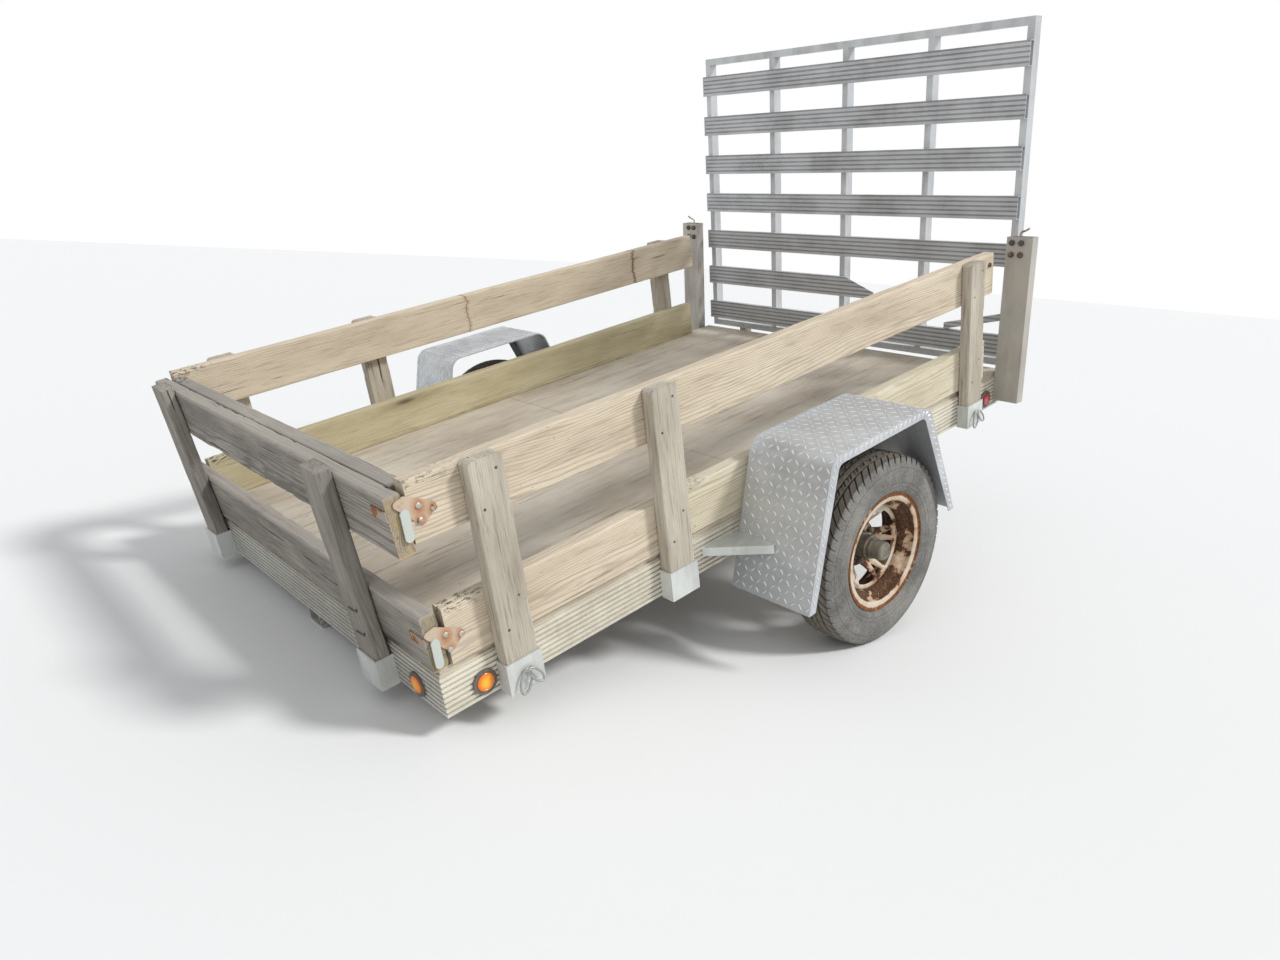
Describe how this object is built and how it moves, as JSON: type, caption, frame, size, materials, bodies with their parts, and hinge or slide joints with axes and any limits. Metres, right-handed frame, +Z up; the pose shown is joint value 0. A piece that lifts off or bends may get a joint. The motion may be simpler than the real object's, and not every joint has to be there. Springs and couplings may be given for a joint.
{
  "type": "utility trailer",
  "caption": "Single-axle utility trailer with an alloy frame, timber side boards and a folding rear ramp gate, resting nose down without its tongue.",
  "frame": {"origin": "middle of the bounding box at floor level, with the trailer resting on its tyres and the cut end of its drawbar", "axes": "+Z up, -Y towards the front of the trailer, +X towards its left side"},
  "size_m": [2.07, 2.5808, 1.8814],
  "materials": {
    "amber": "gloss",
    "extrusion": "satin",
    "galvanised": "dull",
    "green_timber": "rough",
    "grey_timber": "rough",
    "grommet": "matte",
    "hub_steel": "dull",
    "plywood": "rough",
    "red": "gloss",
    "rim_paint": "chalky",
    "sheet_alloy": "satin",
    "tan_timber": "rough",
    "tread_plate": "satin",
    "tyre": "matte"
  },
  "bodies": {
    "trailer": {"axle_tube": "hub_steel", "board_front_doubler": "grey_timber", "board_front_lower": "grey_timber", "board_front_upper": "grey_timber", "board_left_lower_front": "tan_timber", "board_left_lower_rear": "green_timber", "board_left_upper": "tan_timber", "board_right_lower": "green_timber", "board_right_upper": "tan_timber", "crossmembers": "extrusion", "deck": "plywood", "drawbar_stub": "extrusion", "fender_brackets": "sheet_alloy", "fender_left": "tread_plate", "fender_right": "tread_plate", "gate_hinges": "galvanised", "lamp_grommets": "grommet", "latch_hooks": "galvanised", "latches_left": "galvanised", "latches_right": "galvanised", "lenses_amber": "amber", "lenses_red": "red", "pockets_front": "sheet_alloy", "pockets_left": "sheet_alloy", "pockets_right": "sheet_alloy", "post_left": "sheet_alloy", "post_right": "sheet_alloy", "rail_front": "extrusion", "rail_left": "extrusion", "rail_rear": "extrusion", "rail_right": "extrusion", "stakes_front": "grey_timber", "stakes_left": "grey_timber", "stakes_right": "grey_timber", "torsion_arms": "hub_steel"},
    "wheel_left": {"tyre_left": "tyre", "rim_left": "rim_paint", "hub_left": "hub_steel"},
    "wheel_right": {"tyre_right": "tyre", "rim_right": "rim_paint", "hub_right": "hub_steel"},
    "ramp_gate": {"gate_frame": "sheet_alloy", "gate_hinge_straps": "galvanised", "gate_slat_bent": "extrusion", "gate_slats": "extrusion"}
  },
  "joints": [
    {"name": "wheel_left_spin", "type": "hinge", "parent": "trailer", "child": "wheel_left", "pos_m": [0.941, 0.16536, 0.281], "axis": [1, 0, 0], "continuous": true},
    {"name": "wheel_right_spin", "type": "hinge", "parent": "trailer", "child": "wheel_right", "pos_m": [-0.941, 0.16536, 0.281], "axis": [1, 0, 0], "continuous": true},
    {"name": "ramp_gate_fold", "type": "hinge", "parent": "trailer", "child": "ramp_gate", "pos_m": [0, 1.25684, 0.69847], "axis": [-1, 0, 0], "range_deg": [0, 110]}
  ]
}
